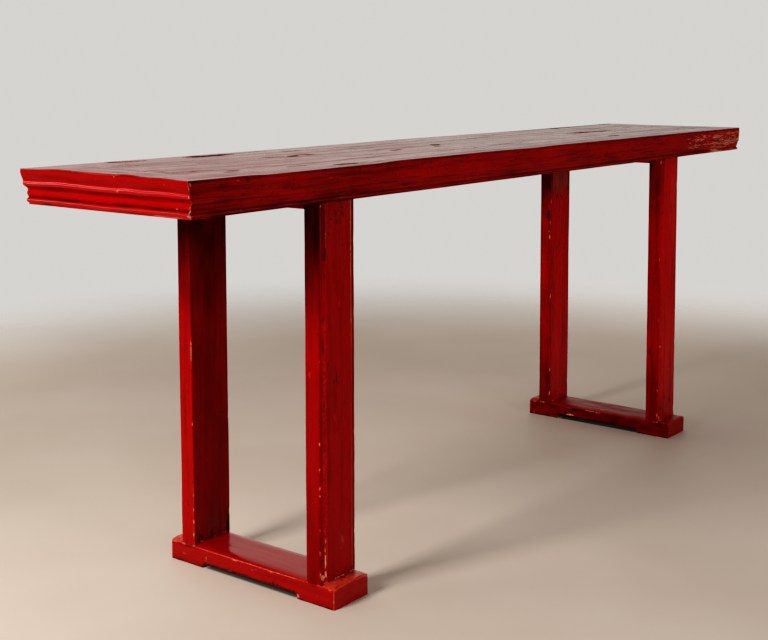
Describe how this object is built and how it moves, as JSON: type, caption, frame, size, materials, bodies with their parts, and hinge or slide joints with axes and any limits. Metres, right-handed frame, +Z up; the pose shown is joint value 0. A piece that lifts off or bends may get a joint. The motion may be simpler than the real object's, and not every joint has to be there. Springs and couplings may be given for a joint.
{
  "type": "altar table",
  "caption": "Long narrow altar table in worn red lacquer, with a thick moulded top on plank legs that stand on transverse sled feet.",
  "frame": {"origin": "on the floor, under the centre of the table", "axes": "+X along the length of the table, +Y from the show side to the back, +Z up"},
  "size_m": [2.28, 0.448, 0.85],
  "materials": {
    "lacquer_frame": "worn glossy red lacquer over wood",
    "lacquer_top": "rubbed red lacquer with long grain showing through, semi-gloss",
    "lacquer_legs": "worn glossy red lacquer over wood",
    "lacquer_feet": "worn glossy red lacquer, chipped at the lower edges",
    "raw_wood": "bare aged softwood"
  },
  "bodies": {
    "root": {"front_rail": "lacquer_frame", "back_rail": "lacquer_frame", "left_end_rail": "lacquer_frame", "right_end_rail": "lacquer_frame", "top_board_front": "lacquer_top", "top_board_middle": "lacquer_top", "top_board_back": "lacquer_top", "left_batten": "raw_wood", "centre_batten": "raw_wood", "right_batten": "raw_wood", "left_bearer": "lacquer_frame", "right_bearer": "lacquer_frame", "front_left_leg": "lacquer_legs", "back_left_leg": "lacquer_legs", "front_right_leg": "lacquer_legs", "back_right_leg": "lacquer_legs", "left_foot": "lacquer_feet", "right_foot": "lacquer_feet", "foot_tenon_wedges": "raw_wood", "corner_pegs": "raw_wood"}
  },
  "joints": []
}
